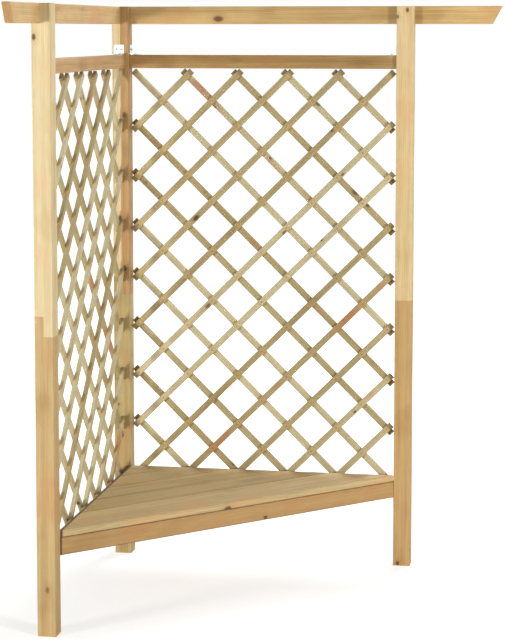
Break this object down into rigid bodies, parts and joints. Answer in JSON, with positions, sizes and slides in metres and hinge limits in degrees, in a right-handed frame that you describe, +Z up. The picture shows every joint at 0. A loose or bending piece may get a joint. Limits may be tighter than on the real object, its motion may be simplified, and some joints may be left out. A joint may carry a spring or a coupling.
{
  "type": "corner arbour seat",
  "caption": "Timber corner arbour with a triangular slatted bench, diagonal trellis panels on two sides and overhanging top beams.",
  "frame": {"origin": "centre of the whole footprint's bounding box, on the ground that the posts stand on", "axes": "+Z up; +X from the corner post along the right trellis panel; +Y towards the corner post's back face, so the left panel runs from the corner towards -Y"},
  "size_m": [1.37, 1.37, 1.97],
  "materials": {
    "beam_timber": "planed",
    "frame_timber": "planed, warm",
    "lower_post_timber": "planed",
    "rail_timber": "planed, olive brown",
    "screw_steel": "passivated zinc",
    "seat_timber": "planed, streaky grain",
    "slat_timber": "sawn, olive tan",
    "upper_post_timber": "planed, pale",
    "zinc_bracket": "bright zinc"
  },
  "bodies": {
    "root": {"apron_screw_1": "screw_steel", "apron_screw_2": "screw_steel", "apron_screw_3": "screw_steel", "beam_end_screw": "screw_steel", "corner_post_lap_screw_1": "screw_steel", "corner_post_lap_screw_2": "screw_steel", "corner_post_lower": "lower_post_timber", "corner_post_upper": "upper_post_timber", "front_apron": "frame_timber", "left_beam_corner_screw": "screw_steel", "left_beam_screw_1": "screw_steel", "left_beam_screw_2": "screw_steel", "left_bearer_screw_1": "screw_steel", "left_bearer_screw_2": "screw_steel", "left_bearer_screw_3": "screw_steel", "left_post_lap_screw_1": "screw_steel", "left_post_lap_screw_2": "screw_steel", "left_post_lower": "lower_post_timber", "left_post_upper": "upper_post_timber", "left_seat_bearer": "frame_timber", "left_seat_bracket_corner": "zinc_bracket", "left_seat_bracket_outer": "zinc_bracket", "left_seat_rail": "rail_timber", "left_top_beam": "beam_timber", "left_trellis": "slat_timber", "left_upper_bracket_corner": "zinc_bracket", "left_upper_bracket_outer": "zinc_bracket", "left_upper_rail": "rail_timber", "right_beam_corner_screw": "screw_steel", "right_beam_screw_1": "screw_steel", "right_beam_screw_2": "screw_steel", "right_bearer_screw_1": "screw_steel", "right_bearer_screw_2": "screw_steel", "right_bearer_screw_3": "screw_steel", "right_post_lap_screw_1": "screw_steel", "right_post_lap_screw_2": "screw_steel", "right_post_lower": "lower_post_timber", "right_post_upper": "upper_post_timber", "right_seat_bearer": "frame_timber", "right_seat_bracket_corner": "zinc_bracket", "right_seat_bracket_outer": "zinc_bracket", "right_seat_rail": "rail_timber", "right_top_beam": "beam_timber", "right_trellis": "slat_timber", "right_upper_bracket_corner": "zinc_bracket", "right_upper_bracket_outer": "zinc_bracket", "right_upper_rail": "rail_timber", "seat_board_1": "seat_timber", "seat_board_2": "seat_timber", "seat_board_3": "seat_timber", "seat_board_4": "seat_timber", "seat_board_5": "seat_timber", "seat_centre_bearer": "frame_timber"}
  },
  "joints": []
}
